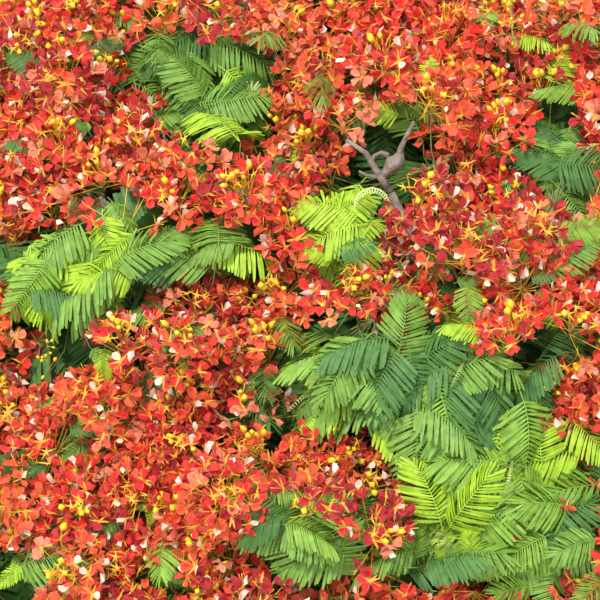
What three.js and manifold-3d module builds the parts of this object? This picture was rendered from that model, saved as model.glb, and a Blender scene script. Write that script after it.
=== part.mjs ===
// A flame tree in full blossom: a low forked trunk, boughs that spread into an umbrella, and a
// dome of masses of feathery leaves and scarlet flower heads. Millimetres, +Z up. The origin is the
// middle of the flat cut under the trunk, and -Y is the side with the most open view of the blossom.
import * as THREE from "three";
import { mergeVertices } from "three/addons/utils/BufferGeometryUtils.js";
import Module from "manifold-3d";

const wasm = await Module();
wasm.setup();

// Crown: half of an ellipsoid on the level of its rim
const CROWN_HALF_WIDTH = 3050;
const CROWN_HALF_DEPTH = 2900;
const CROWN_RISE = 2600;
const CROWN_RIM_HEIGHT = 2340;
const CROWN_SHIFT_X = 110;
const CROWN_SHIFT_Y = 40;
const CENTRE_SHARE = 0.87; // how far out the middle of a mass lies, as a share of the dome
const TIP_SHARE = 0.66; // how far out a bough ends, as a share of the way to its two masses

// Trunk
const FORK_HEIGHT = 1430;
const TRUNK_LEAN_X = 95;
const TRUNK_LEAN_Y = 40;
const TRUNK_FOOT_RADIUS = 165;
const TRUNK_TOP_RADIUS = 128;
const FLARE = 120; // how far the root swellings stand out at the ground
const FLARE_HEIGHT = 230;
const FLARE_LOBES = 5;
const NECK_START = 0.8; // share of the trunk's length from which it swells under its fork
const NECK_SWELL = 14;
const TRUNK_SIDES = 16;
const TRUNK_STEPS = 9;

// Boughs, stems and twigs. A leader is a main bough that forks from the trunk itself.
const LOWEST_FORK = 0.88; // where the first leader leaves the trunk, as a share of its length
const LEADER_STEP = 0.055; // each further leader leaves this much higher
const FORK_OFFSET = 30; // from the trunk's middle line to a leader's root
const LEADER_ROOT_RADIUS = 92;
const FORK_SHARE = 0.17; // where a leader carries the next main bough
const FORKED_ROOT_RADIUS = 64;
const MAIN_TIP_RADIUS = 27;
const SIDE_ROOT_RADIUS = 42;
const SIDE_TIP_RADIUS = 25;
const STEM_ROOT_RADIUS = 12;
const STEM_TIP_RADIUS = 9;
const STEM_SINK = 8; // how far a stem runs back into its bough before it is cut clear
const STEM_SIDES = 4;
const STEM_STEPS = 3;
const TWIG_ROOT_RADIUS = 6.5;
const TWIG_TIP_RADIUS = 4.5;
const GAP = 0.3; // between two solids that carry one another
const CLEAR = 3; // between a mass and the edge of its space
const LIMB_CLEAR = 16; // between a leaf and a bough
const LIMB_BEADS = 24;

// Masses: leaves, flower heads and the cap that they cover
const TWIGS_PER_MASS = 6;
const LAYERS = 3; // a leaf or head that finds no room goes this many layers down
const LAYER_DEPTH = 130;
const FACE_UP = 0.7; // how much a leaf or head that faces outward turns up to the sky
const BEAD_FLATNESS = 2.6;
const MASS_BULGE = 150;
const HIGHEST_TWIG = 0.85; // where the twigs leave the stem, as shares of its length
const TWIG_SPREAD = 0.5;
const OPEN_REACH = 800; // how far a mass reaches where no other mass lies beside it
const SKIRT = 560; // and how far it hangs there
const SIZES_TRIED = [1, 0.84, 0.7]; // shares of a leaf's or a head's full size
const GOLDEN_ANGLE = Math.PI * (3 - Math.sqrt(5));
const LEAF_LENGTH = 620;
const LEAF_WIDTH = 340;
const LEAF_THICKNESS = 14;
const LEAF_BEND = 90;
const LEAF_DROOP = 0.2;
const LEAF_CENTRE = 0.45; // share of a leaf that lies before the end of its twig
const CREST_TWIG = 0.98; // a leaf on the end of a stem has its stalk there
const CREST_STALK = 40;
const HEAD_RADIUS = 265;
const HEAD_RISE = 62;
const HEAD_DEPTH = 88;
const HEAD_PETALS = 5;
const HEAD_NOTCH = 0.6; // radius between two petals, as a share of the head's

// Six sectors of the crown have six masses each. polar is measured from the crown's top and swing
// from the sector's middle, both in degrees. Each bough ends between the two masses that it carries.
const SECTORS = 6;
const FRONT_ANGLE = -90;
const SECTOR_MASSES = [
  { name: "top_mass", polar: 19, swing: -4 },
  { name: "upper_mass_a", polar: 49, swing: -16 },
  { name: "upper_mass_b", polar: 52, swing: 15 },
  { name: "rim_mass_a", polar: 79, swing: -20 },
  { name: "rim_mass_b", polar: 83, swing: 0 },
  { name: "rim_mass_c", polar: 79, swing: 20 },
];
const SECTOR_BOUGHS = [
  { name: "main_bough", carries: [0, 1], from: null },
  { name: "rim_bough", carries: [3, 4], from: 0.38 },
  { name: "side_bough", carries: [2, 5], from: 0.5 },
];
const TOP_STAGGER = 6; // the top masses lie by turns further from the crown's top and nearer
const POLAR_JITTER = 3.5;
const SWING_JITTER = 3.5;
const SHARE_JITTER = 0.03;
const FIRST_TWIG_SEED = 501;

// Where leaves cover the front of the crown instead of blossom: middle and half size, sideways and
// up, measured square to a line of sight that comes down at VIEW_DROP degrees onto VIEW_MIDDLE.
const VIEW_DROP = 16;
const VIEW_MIDDLE = new THREE.Vector3(0, -2300, 3740);
const LEAF_DRIFTS = [
  [-330, 730, 260, 130],
  [-250, 545, 240, 75],
  [790, 440, 110, 190],
  [290, 420, 130, 85],
  [-560, 85, 360, 185],
  [100, 205, 150, 80],
  [-200, 120, 150, 130],
  [150, -210, 210, 200],
  [580, -430, 320, 350],
  [-70, -350, 90, 75],
  [0, -740, 190, 120],
  [-820, -810, 100, 90],
  [-410, -830, 90, 60],
];

const MATERIALS = {
  bark: new THREE.MeshStandardMaterial({ color: 0x8d7f70, roughness: 0.9, metalness: 0 }),
  foliage: new THREE.MeshStandardMaterial({ color: 0x5f9a34, roughness: 0.6, metalness: 0 }),
  blossom: new THREE.MeshStandardMaterial({ color: 0xd8301f, roughness: 0.6, metalness: 0 }),
};

// A seeded generator of evenly spread numbers, the minimal standard one.
class Dice {
  constructor(seed) {
    this.state = (seed * 7919 + 104729) % 2147483647;
  }

  between(low, high) {
    this.state = (this.state * 16807) % 2147483647;
    return low + ((high - low) * this.state) / 2147483647;
  }
}

const crownMiddle = new THREE.Vector3(CROWN_SHIFT_X, CROWN_SHIFT_Y, CROWN_RIM_HEIGHT);
const crownHalf = new THREE.Vector3(CROWN_HALF_WIDTH, CROWN_HALF_DEPTH, CROWN_RISE);
const UP = new THREE.Vector3(0, 0, 1);

function domePoint(polarDegrees, azimuthDegrees, share) {
  const polar = THREE.MathUtils.degToRad(polarDegrees);
  const azimuth = THREE.MathUtils.degToRad(azimuthDegrees);
  return new THREE.Vector3(
    Math.sin(polar) * Math.cos(azimuth),
    Math.sin(polar) * Math.sin(azimuth),
    Math.cos(polar),
  )
    .multiply(crownHalf)
    .multiplyScalar(share)
    .add(crownMiddle);
}

function domeNormal(point) {
  return point.clone().sub(crownMiddle).divide(crownHalf).divide(crownHalf).normalize();
}

// Each mass has its middle, three directions there and the seed of its own twigs.
function placeMasses() {
  const masses = [];
  for (let sector = 0; sector < SECTORS; sector++) {
    const dice = new Dice(sector + 11);
    const middleAngle = FRONT_ANGLE + (sector * 360) / SECTORS;
    SECTOR_MASSES.forEach(({ name, polar, swing }, slot) => {
      const stagger = slot === 0 ? TOP_STAGGER * (sector % 2 === 0 ? 1 : -1) : 0;
      const middle = domePoint(
        polar + stagger + dice.between(-POLAR_JITTER, POLAR_JITTER),
        middleAngle + swing + dice.between(-SWING_JITTER, SWING_JITTER),
        CENTRE_SHARE + dice.between(-SHARE_JITTER, SHARE_JITTER),
      );
      const outward = domeNormal(middle);
      const across = UP.clone().cross(outward).normalize();
      const upSlope = outward.clone().cross(across);
      const seed = FIRST_TWIG_SEED + masses.length;
      masses.push({ name: `${name}_${sector + 1}`, seed, middle, outward, across, upSlope });
    });
  }
  return masses;
}

const masses = placeMasses();

// Distance from a point to the nearest edge of the space of a mass, which is the set of points
// nearer to its middle than to any other. It is negative outside.
function depthInSpace(point, mass) {
  let depth = Infinity;
  for (const other of masses) {
    if (other === mass) continue;
    const apart = other.middle.distanceTo(mass.middle);
    const lead = point.distanceToSquared(other.middle) - point.distanceToSquared(mass.middle);
    depth = Math.min(depth, lead / (2 * apart));
  }
  return depth;
}

// How far a mass reaches from its middle along a direction.
function reachAlong(direction, mass) {
  let reach = Math.min(OPEN_REACH, direction.z < 0 ? SKIRT / -direction.z : OPEN_REACH);
  for (const other of masses) {
    const away = other.middle.clone().sub(mass.middle);
    const towards = direction.dot(away);
    if (towards > 0) reach = Math.min(reach, away.lengthSq() / 2 / towards);
  }
  return reach;
}

// Whether blossom covers the crown at a point: drifts of leaves lie where the list says on the
// front, and along slow waves elsewhere, more of them low down.
function isBlossom(point) {
  const drop = THREE.MathUtils.degToRad(VIEW_DROP);
  const seen = point.clone().sub(VIEW_MIDDLE);
  const sideways = seen.x;
  const up = seen.z * Math.cos(drop) + seen.y * Math.sin(drop);
  if (point.y < crownMiddle.y && Math.abs(sideways) < 1000 && Math.abs(up) < 1000) {
    return !LEAF_DRIFTS.some(
      ([x, z, halfWidth, halfHeight]) =>
        ((sideways - x) / halfWidth) ** 2 + ((up - z) / halfHeight) ** 2 < 1,
    );
  }
  const wave =
    Math.sin(point.x / 270 + point.z / 410) +
    Math.sin(point.y / 310 - point.z / 350 + 2) +
    Math.sin((point.x - point.y) / 230 + 1);
  const height = (point.z - CROWN_RIM_HEIGHT) / CROWN_RISE;
  return wave > 0.25 - 1.1 * height;
}

// A closed three.js geometry as a solid.
function solid(geometry) {
  geometry.deleteAttribute("normal");
  geometry.deleteAttribute("uv");
  const merged = mergeVertices(geometry, 1e-3);
  return new wasm.Manifold(
    new wasm.Mesh({
      numProp: 3,
      vertProperties: new Float32Array(merged.attributes.position.array),
      triVerts: new Uint32Array(merged.index.array),
    }),
  );
}

// A cylinder bent along a curve. radiusAt(share, angle) is its radius, and grow makes it larger
// all round, for cutting a neighbour clear of it.
function taperedTube(curve, radiusAt, sides, steps, grow = 0) {
  const geometry = new THREE.CylinderGeometry(1, 1, 1, sides, steps);
  const frames = curve.computeFrenetFrames(steps, false);
  const position = geometry.attributes.position;
  const ring = new THREE.Vector3();
  for (let i = 0; i < position.count; i++) {
    const step = Math.round((position.getY(i) + 0.5) * steps);
    const share = step / steps;
    const x = position.getX(i);
    const z = position.getZ(i);
    const radius = radiusAt(share, Math.atan2(z, x)) + grow;
    const past = step === 0 ? -grow : step === steps ? grow : 0;
    ring
      .copy(curve.getPointAt(share))
      .addScaledVector(frames.normals[step], x * radius)
      .addScaledVector(frames.binormals[step], -z * radius)
      .addScaledVector(frames.tangents[step], past);
    position.setXYZ(i, ring.x, ring.y, ring.z);
  }
  return solid(geometry);
}

const taper = (root, tip) => (share) => root + (tip - root) * share ** 0.8;

const trunkCurve = new THREE.CubicBezierCurve3(
  new THREE.Vector3(0, 0, 0),
  new THREE.Vector3(0, 0, FORK_HEIGHT * 0.35),
  new THREE.Vector3(TRUNK_LEAN_X * 0.55, TRUNK_LEAN_Y * 0.5, FORK_HEIGHT * 0.68),
  new THREE.Vector3(TRUNK_LEAN_X, TRUNK_LEAN_Y, FORK_HEIGHT),
);

function trunkRadius(share, angle) {
  const height = share * FORK_HEIGHT;
  const body = TRUNK_FOOT_RADIUS + (TRUNK_TOP_RADIUS - TRUNK_FOOT_RADIUS) * share ** 0.7;
  const lobes = 0.55 + 0.45 * Math.cos(FLARE_LOBES * angle + 0.7);
  const neck = (NECK_SWELL * Math.max(0, share - NECK_START)) / (1 - NECK_START);
  return body + neck + FLARE * lobes * Math.exp(-height / FLARE_HEIGHT);
}

// A bough leaves its parent at the root, rises, and levels out towards its tip.
function boughCurve(root, rootDirection, tip, tipDirection) {
  const span = root.distanceTo(tip);
  return new THREE.CubicBezierCurve3(
    root,
    root.clone().addScaledVector(rootDirection, span * 0.38),
    tip.clone().addScaledVector(tipDirection, -span * 0.34),
    tip,
  );
}

function boughTip(first, second) {
  const between = first.middle.clone().add(second.middle).multiplyScalar(0.5);
  const tip = between.clone().sub(crownMiddle).multiplyScalar(TIP_SHARE).add(crownMiddle);
  const side = second.middle.clone().sub(first.middle).normalize();
  return tip.addScaledVector(side, -tip.clone().sub(between).dot(side));
}

// The main boughs of every other sector fork from the trunk, each a little higher than the last,
// and each of these carries the main bough of the next sector. All others fork from main boughs.
function placeBoughs() {
  const boughs = [];
  const mains = [];
  for (let sector = 0; sector < SECTORS; sector++) {
    SECTOR_BOUGHS.forEach(({ name, carries, from }) => {
      const [first, second] = carries.map((slot) => masses[sector * SECTOR_MASSES.length + slot]);
      const tip = boughTip(first, second);
      const outward = tip.clone().sub(crownMiddle).normalize();
      const isMain = from === null;
      const isLeader = isMain && sector % 2 === 0;
      let root;
      let rootDirection;
      if (isLeader) {
        const angle = THREE.MathUtils.degToRad(FRONT_ANGLE + ((sector + 0.5) * 360) / SECTORS);
        const away = new THREE.Vector3(Math.cos(angle), Math.sin(angle), 0);
        const level = LOWEST_FORK + (LEADER_STEP * sector) / 2;
        root = trunkCurve.getPointAt(level).addScaledVector(away, FORK_OFFSET);
        rootDirection = away.clone().multiplyScalar(0.8).add(UP);
      } else {
        const parent = isMain ? mains[sector - 1] : mains[sector];
        const share = isMain ? FORK_SHARE : from;
        root = parent.curve.getPointAt(share);
        rootDirection = tip.clone().sub(root).normalize();
        rootDirection.addScaledVector(parent.curve.getTangentAt(share), 0.6);
      }
      const mainRootRadius = isLeader ? LEADER_ROOT_RADIUS : FORKED_ROOT_RADIUS;
      const bough = {
        name: `${name}_${sector + 1}`,
        curve: boughCurve(root, rootDirection.normalize(), tip, outward),
        radius: isMain
          ? taper(mainRootRadius, MAIN_TIP_RADIUS)
          : taper(SIDE_ROOT_RADIUS, SIDE_TIP_RADIUS),
        sides: isMain ? 8 : 6,
        steps: isMain ? 7 : 5,
        carries: [first, second],
      };
      boughs.push(bough);
      if (isMain) mains.push(bough);
    });
  }
  return boughs;
}

const boughs = placeBoughs();
const boughSolid = (bough, grow) =>
  taperedTube(bough.curve, bough.radius, bough.sides, bough.steps, grow);

// Points along every bough with its radius there, to keep leaves off them.
const limbBeads = boughs.flatMap((bough) =>
  bough.curve.getSpacedPoints(LIMB_BEADS).map((point, i) => ({
    point,
    radius: bough.radius(i / LIMB_BEADS),
  })),
);

// A piece stays if its corners lie in the space of its mass and it passes clear of the boughs.
function fits(corners, mass) {
  const middle = corners.reduce((sum, p) => sum.add(p), new THREE.Vector3());
  middle.divideScalar(corners.length);
  const probes = [...corners, ...corners.map((p) => p.clone().lerp(middle, 0.5)), middle];
  return (
    corners.every((corner) => depthInSpace(corner, mass) > CLEAR) &&
    probes.every((probe) =>
      limbBeads.every((bead) => bead.point.distanceTo(probe) > bead.radius + LIMB_CLEAR),
    )
  );
}

// Axes with X along forward and Z as near facing as it can be.
function axesAlong(forward, facing) {
  const x = forward.clone().normalize();
  const y = facing.clone().cross(x).normalize();
  return { x, y, z: x.clone().cross(y) };
}

function cornersOf(geometry) {
  const position = geometry.attributes.position;
  return Array.from({ length: position.count }, (_, i) =>
    new THREE.Vector3().fromBufferAttribute(position, i),
  );
}

// One leaf and its stalk in one body: a four-sided cone whose rings are the stalk's root, its end,
// the widest place of the blade, and the blade's point, which hangs.
function leafGeometry(stalkRoot, root, axes, length) {
  const geometry = new THREE.CylinderGeometry(0, 1, 1, 4, 3);
  const scale = length / LEAF_LENGTH;
  const stalkUp = root.clone().sub(stalkRoot).cross(axes.y).normalize();
  const middle = root.clone().addScaledVector(axes.x, length * 0.5);
  const tip = root.clone().addScaledVector(axes.x, length).addScaledVector(axes.z, -LEAF_BEND * scale);
  const rings = [
    { at: tip, wide: 0, thick: 0, up: axes.z },
    { at: middle, wide: (LEAF_WIDTH * scale) / 2, thick: LEAF_THICKNESS / 2, up: axes.z },
    { at: root, wide: TWIG_TIP_RADIUS, thick: TWIG_TIP_RADIUS, up: axes.z },
    { at: stalkRoot, wide: TWIG_ROOT_RADIUS, thick: TWIG_ROOT_RADIUS, up: stalkUp },
  ];
  const position = geometry.attributes.position;
  for (let i = 0; i < position.count; i++) {
    const ring = rings[Math.round((0.5 - position.getY(i)) * 3)];
    const corner = new THREE.Vector3(position.getX(i), 0, position.getZ(i)).normalize();
    const point = ring.at
      .clone()
      .addScaledVector(axes.y, -corner.x * ring.wide)
      .addScaledVector(ring.up, corner.z * ring.thick);
    position.setXYZ(i, point.x, point.y, point.z);
  }
  return geometry;
}

// One flower head: a shallow star of five petals about Z.
function headGeometry(radius) {
  const corners = HEAD_PETALS * 2;
  const geometry = new THREE.SphereGeometry(1, corners, 2);
  geometry.rotateX(Math.PI / 2);
  const position = geometry.attributes.position;
  for (let i = 0; i < position.count; i++) {
    const x = position.getX(i);
    const y = position.getY(i);
    const corner = Math.round((Math.atan2(y, x) * corners) / (2 * Math.PI));
    const share = corner % 2 === 0 ? 1 : HEAD_NOTCH;
    const pole = position.getZ(i);
    const lift = pole > 0.5 ? HEAD_RISE : pole < -0.5 ? -HEAD_DEPTH : 0;
    position.setXYZ(i, x * radius * share, y * radius * share, lift);
  }
  return geometry;
}

// The stem leaves the bough's end on its own mass's side and bends over to the top of the mass.
function stemCurve(mass, bough) {
  const tip = bough.curve.getPointAt(1);
  const along = bough.curve.getTangentAt(1);
  const other = bough.carries.find((carried) => carried !== mass);
  const side = mass.middle.clone().sub(other.middle).normalize();
  const start = tip
    .addScaledVector(side, STEM_ROOT_RADIUS + 1)
    .addScaledVector(along, -STEM_SINK);
  const crest = mass.middle.clone().addScaledVector(mass.outward, MASS_BULGE);
  const span = start.distanceTo(crest);
  return new THREE.CubicBezierCurve3(
    start,
    start.clone().addScaledVector(along, span * 0.35),
    crest.clone().addScaledVector(mass.outward, -span * 0.3),
    crest,
  );
}

// A point on the stem's straight-sided solid, which runs from ring to ring.
function onStem(stem, share) {
  const ring = Math.floor(share * STEM_STEPS);
  const from = stem.getPointAt(ring / STEM_STEPS);
  const to = stem.getPointAt((ring + 1) / STEM_STEPS);
  return from.lerp(to, share * STEM_STEPS - ring);
}

// The twigs of a mass leave its stem in turn, the widest first, and fan out by the golden angle to
// points over a shallow cap. The first leaf or flower head sits on the end of the stem itself.
function placeTwigs(mass, stem) {
  const dice = new Dice(mass.seed);
  const turn = dice.between(0, 2 * Math.PI);
  return Array.from({ length: TWIGS_PER_MASS + 1 }, (_, k) => {
    const angle = turn + k * GOLDEN_ANGLE;
    const radial = mass.across
      .clone()
      .multiplyScalar(Math.cos(angle))
      .addScaledVector(mass.upSlope, Math.sin(angle));
    const share = Math.sqrt(k / TWIGS_PER_MASS);
    const reach = reachAlong(radial, mass) - HEAD_RADIUS * 0.9;
    const end = mass.middle
      .clone()
      .addScaledVector(radial, share * reach)
      .addScaledVector(mass.outward, MASS_BULGE * (1 - share * share));
    const root = onStem(stem, k > 0 ? HIGHEST_TWIG - TWIG_SPREAD * share : CREST_TWIG);
    return { root, end, radial, onCrest: k === 0 };
  });
}

function twigSolid(from, to) {
  const curve = new THREE.LineCurve3(from, to);
  return taperedTube(curve, taper(TWIG_ROOT_RADIUS, TWIG_TIP_RADIUS), 3, 1);
}

// A flower head with its middle at the end of its twig, and the beads that stand for it.
function headPiece(twig, end, mass, share) {
  const radius = HEAD_RADIUS * share;
  const { x, y, z } = axesAlong(twig.radial, mass.outward.clone().addScaledVector(UP, FACE_UP));
  const geometry = headGeometry(radius);
  geometry.applyMatrix4(new THREE.Matrix4().makeBasis(x, y, z).setPosition(end));
  const solids = () => [solid(geometry), ...(twig.onCrest ? [] : [twigSolid(twig.root, end)])];
  return { corners: cornersOf(geometry), beads: [{ point: end, radius: radius * 0.85 }], solids };
}

// A leaf with its middle at the end of its twig, which is its stalk, in the same form.
function leafPiece(twig, end, mass, share) {
  const length = LEAF_LENGTH * share;
  const forward = twig.radial.clone().addScaledVector(UP, -LEAF_DROOP);
  const axes = axesAlong(forward, mass.outward.clone().addScaledVector(UP, FACE_UP));
  const root = end.clone().addScaledVector(axes.x, twig.onCrest ? CREST_STALK : -length * LEAF_CENTRE);
  const geometry = leafGeometry(twig.root, root, axes, length);
  const beads = [0.25, 0.5, 0.8].map((along) => ({
    point: root.clone().addScaledVector(axes.x, along * length),
    radius: LEAF_WIDTH * share * (along === 0.5 ? 0.42 : 0.25),
  }));
  return { corners: cornersOf(geometry), beads, solids: () => [solid(geometry)] };
}

// Beads fill a piece roughly, flattened along the way that its mass faces. A piece keeps off those
// that its mass already has by their beads.
function keepsOff(beads, others, mass) {
  return beads.every((bead) =>
    others.every((other) => {
      const apart = bead.point.clone().sub(other.point);
      const height = apart.dot(mass.outward);
      apart.addScaledVector(mass.outward, height * (BEAD_FLATNESS - 1));
      return apart.length() > bead.radius + other.radius;
    }),
  );
}

// The leaf or flower head of a twig, at the first size and layer where it fits, or nothing.
function growTwig(twig, mass, taken) {
  const makePiece = isBlossom(twig.end) ? headPiece : leafPiece;
  for (const share of SIZES_TRIED) {
    for (let layer = 0; layer < (twig.onCrest ? 1 : LAYERS); layer++) {
      const end = twig.end.clone().addScaledVector(mass.outward, -layer * LAYER_DEPTH);
      const piece = makePiece(twig, end, mass, share);
      const twigBeads = (twig.onCrest ? [] : [0.5, 0.65, 0.8]).map((along) => ({
        point: twig.root.clone().lerp(end, along),
        radius: TWIG_ROOT_RADIUS,
      }));
      const beads = [...piece.beads, ...twigBeads];
      if (!keepsOff(beads, taken, mass) || !fits(piece.corners, mass)) continue;
      taken.push(...beads);
      return piece.solids();
    }
  }
  return [];
}

function largestBody(shape) {
  return shape.decompose().reduce((best, body) => (body.volume() > best.volume() ? body : best));
}

function growMass(mass) {
  const bough = boughs.find(({ carries }) => carries.includes(mass));
  const stem = stemCurve(mass, bough);
  const stemRadius = taper(STEM_ROOT_RADIUS, STEM_TIP_RADIUS);
  const pieces = [taperedTube(stem, stemRadius, STEM_SIDES, STEM_STEPS)];
  const taken = [];
  const twigs = placeTwigs(mass, stem);
  for (const twig of twigs) pieces.push(...growTwig(twig, mass, taken));
  const shape = wasm.Manifold.union(pieces).subtract(boughSolid(bough, GAP));
  const heads = twigs.filter((twig) => isBlossom(twig.end)).length;
  return { shape: largestBody(shape), mostlyBlossom: heads * 2 > twigs.length };
}

const tree = new THREE.Group();

function addNode(name, shape, material) {
  const { vertProperties, triVerts } = shape.getMesh();
  const geometry = new THREE.BufferGeometry();
  geometry.setAttribute("position", new THREE.BufferAttribute(vertProperties, 3));
  geometry.setIndex(new THREE.BufferAttribute(triVerts, 1));
  const mesh = new THREE.Mesh(geometry, material);
  mesh.name = name;
  tree.add(mesh);
}

addNode("trunk", taperedTube(trunkCurve, trunkRadius, TRUNK_SIDES, TRUNK_STEPS), MATERIALS.bark);

// Each bough is cut clear of the trunk and of the boughs before it, so that it seats on them.
const seats = [taperedTube(trunkCurve, trunkRadius, TRUNK_SIDES, TRUNK_STEPS, GAP)];
for (const bough of boughs) {
  let shape = boughSolid(bough, 0);
  for (const seat of seats) shape = shape.subtract(seat);
  addNode(bough.name, largestBody(shape), MATERIALS.bark);
  seats.push(boughSolid(bough, GAP));
}

for (const mass of masses) {
  const { shape, mostlyBlossom } = growMass(mass);
  addNode(mass.name, shape, mostlyBlossom ? MATERIALS.blossom : MATERIALS.foliage);
}

export default tree;
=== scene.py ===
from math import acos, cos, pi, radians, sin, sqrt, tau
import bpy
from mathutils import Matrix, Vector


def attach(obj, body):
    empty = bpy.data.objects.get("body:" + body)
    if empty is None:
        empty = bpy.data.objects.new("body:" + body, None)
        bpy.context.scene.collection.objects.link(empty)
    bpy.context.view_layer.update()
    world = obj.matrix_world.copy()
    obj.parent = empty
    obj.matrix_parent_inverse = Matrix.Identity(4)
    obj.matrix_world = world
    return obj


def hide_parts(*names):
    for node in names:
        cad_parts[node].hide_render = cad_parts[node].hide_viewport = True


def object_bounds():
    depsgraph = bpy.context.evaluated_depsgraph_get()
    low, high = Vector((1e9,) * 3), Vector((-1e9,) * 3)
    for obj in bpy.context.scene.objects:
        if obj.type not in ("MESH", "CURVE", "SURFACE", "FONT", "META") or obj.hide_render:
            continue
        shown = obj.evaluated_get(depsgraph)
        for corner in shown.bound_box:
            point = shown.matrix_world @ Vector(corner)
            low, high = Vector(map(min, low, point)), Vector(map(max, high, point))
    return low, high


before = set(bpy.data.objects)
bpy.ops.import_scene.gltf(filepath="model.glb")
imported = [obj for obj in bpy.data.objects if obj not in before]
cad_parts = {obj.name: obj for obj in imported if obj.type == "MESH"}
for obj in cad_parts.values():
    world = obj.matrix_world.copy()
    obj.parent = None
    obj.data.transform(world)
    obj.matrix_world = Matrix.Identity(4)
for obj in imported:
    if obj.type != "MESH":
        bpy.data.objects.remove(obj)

# The flame tree in full blossom, dressed: relief on the bark of the trunk and boughs, fine twigs,
# feathery leaves, and heads of scarlet flowers with their buds. Metres, in the frame of the solids.
cad_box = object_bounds()

from types import SimpleNamespace

import bmesh
import bpy
import numpy as np
from mathutils import Vector, noise
from numpy.linalg import norm

# Crown, as in the solids
CROWN_HALF = np.array([3.05, 2.9, 2.6])
CROWN_MIDDLE = np.array([0.11, 0.04, 2.34])
CENTRE_SHARE = 0.87
TIP_SHARE = 0.66
SECTORS = 6
FRONT_ANGLE = -90
SECTOR_MASSES = [
    ("top_mass", 19, -4),
    ("upper_mass_a", 49, -16),
    ("upper_mass_b", 52, 15),
    ("rim_mass_a", 79, -20),
    ("rim_mass_b", 83, 0),
    ("rim_mass_c", 79, 20),
]
SECTOR_BOUGHS = [("main_bough", (0, 1), None), ("rim_bough", (3, 4), 0.38), ("side_bough", (2, 5), 0.5)]
TOP_STAGGER = 6
POLAR_JITTER = 3.5
SWING_JITTER = 3.5
SHARE_JITTER = 0.03
FIRST_TWIG_SEED = 501
FILL_SEED = 31
DRIFT_SEED = 23
PATTERN_SEED = 7

# Trunk and boughs, as in the solids
FORK_HEIGHT = 1.43
TRUNK_LEAN = (0.095, 0.04)
TRUNK_FOOT_RADIUS = 0.165
TRUNK_TOP_RADIUS = 0.128
FLARE = 0.12
FLARE_HEIGHT = 0.23
FLARE_LOBES = 5
NECK_START = 0.8
NECK_SWELL = 0.014
LOWEST_FORK = 0.88
LEADER_STEP = 0.055
FORK_OFFSET = 0.03
LEADER_ROOT_RADIUS = 0.092
FORK_SHARE = 0.17
FORKED_ROOT_RADIUS = 0.064
MAIN_TIP_RADIUS = 0.027
SIDE_ROOT_RADIUS = 0.042
SIDE_TIP_RADIUS = 0.025

# Masses, as in the solids
TWIGS_PER_MASS = 6
MASS_BULGE = 0.15
HIGHEST_TWIG = 0.85
TWIG_SPREAD = 0.5
OPEN_REACH = 0.8
SKIRT = 0.56
HEAD_SOLID_RADIUS = 0.265
GOLDEN_ANGLE = pi * (3 - sqrt(5))
FACE_UP = 0.7

# Finer than the solids
FINE_TIPS = 88
TIP_REACH = 0.98
INNER_DEPTH = (0.06, 0.2)
SHADE_LEAVES = 11
STEM_FORK_RADIUS = 0.02
STEM_SKIN = 0.62
STEM_SKIN_RADIUS = 0.011
TRUNK_SIDES = 40
BOUGH_SIDES = 16
STEM_SIDES = 10
COLLAR_SWELL = 0.22
COLLAR_LENGTH = 0.09
FOOT_DEPTH = -0.03
TWIG_RADII = (0.008, 0.0045)
FINE_TWIG_RADII = (0.0036, 0.0019)
TWIG_SAG = 0.07
LAYER_SPREAD = (-0.17, 0.06)
HEAD_INSET = 0.03
LEAF_INSET = 0.12
TRUNK_CREST = 0.93
BARK_VOXEL = 0.0115
BARK_KEPT = 0.52
PIECE_LIMIT = 190_000

# Leaves
LEAF_LENGTH = 0.3
LEAF_PAIRS = 20
FAR_LEAF_PAIRS = 14
INNER_LEAF_PAIRS = 12
SHADED_LEAF_PAIRS = 17
FAR_LEAF_SIZE = 1.28
INNER_LEAF_SIZE = 1.3
PINNA_LENGTH = 0.107
PINNA_WIDTH = 0.0128
LEAF_VARIANTS = 10
LEAVES_PER_TIP = (2, 4)
LEAVES_IN_VIEW = (3, 5)
STRAY_LEAF_SHARE = 0.62
DROOP_IN_VIEW = (0.3, 0.8)
DROOP = (0.12, 0.5)
SHOOT_RADIUS = 0.052
SHOOT_RIB = 0.014
LEAF_TRIES = 8
DRIFT_LEAF_TRIES = 30
WORST_FIT = 0.75
GOOD_FIT = 0.9
YOUNG_CHANCE = 0.06
CURLED_CHANCE = 0.1

# Flowers
FLOWERS_PER_HEAD = (12, 16)
FLOWERS_IN_VIEW = (24, 30)
FLOWER_VARIANTS = 16
PETAL_LENGTH = 0.041
PETAL_WIDTH = 0.03
FAR_FLOWER_SIZE = 1.28
HEAD_WIDTH = 0.13
HEAD_RISE = 0.085
BUD_LENGTH = 0.035
BUD_RADIUS = 0.0115
PALE_CHANCE = 0.62
HEAD_TINT_CHANCE = 0.6
BUDS_CHANCE = 0.7
BUDS_PER_HEAD = (3, 9)
CALYXES_PER_HEAD = (3, 9)
SPIKE_CHANCE = 0.05
BLOSSOM_RISE = 1.1

# The view: a line of sight that comes down at VIEW_DROP onto VIEW_MIDDLE, and a frame VIEW_WIDTH wide
VIEW_DROP = radians(16)
VIEW_MIDDLE = np.array([0, -2.3, 3.74])
VIEW_WIDTH = 1.75
VIEW_DISTANCE = 9.5
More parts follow.
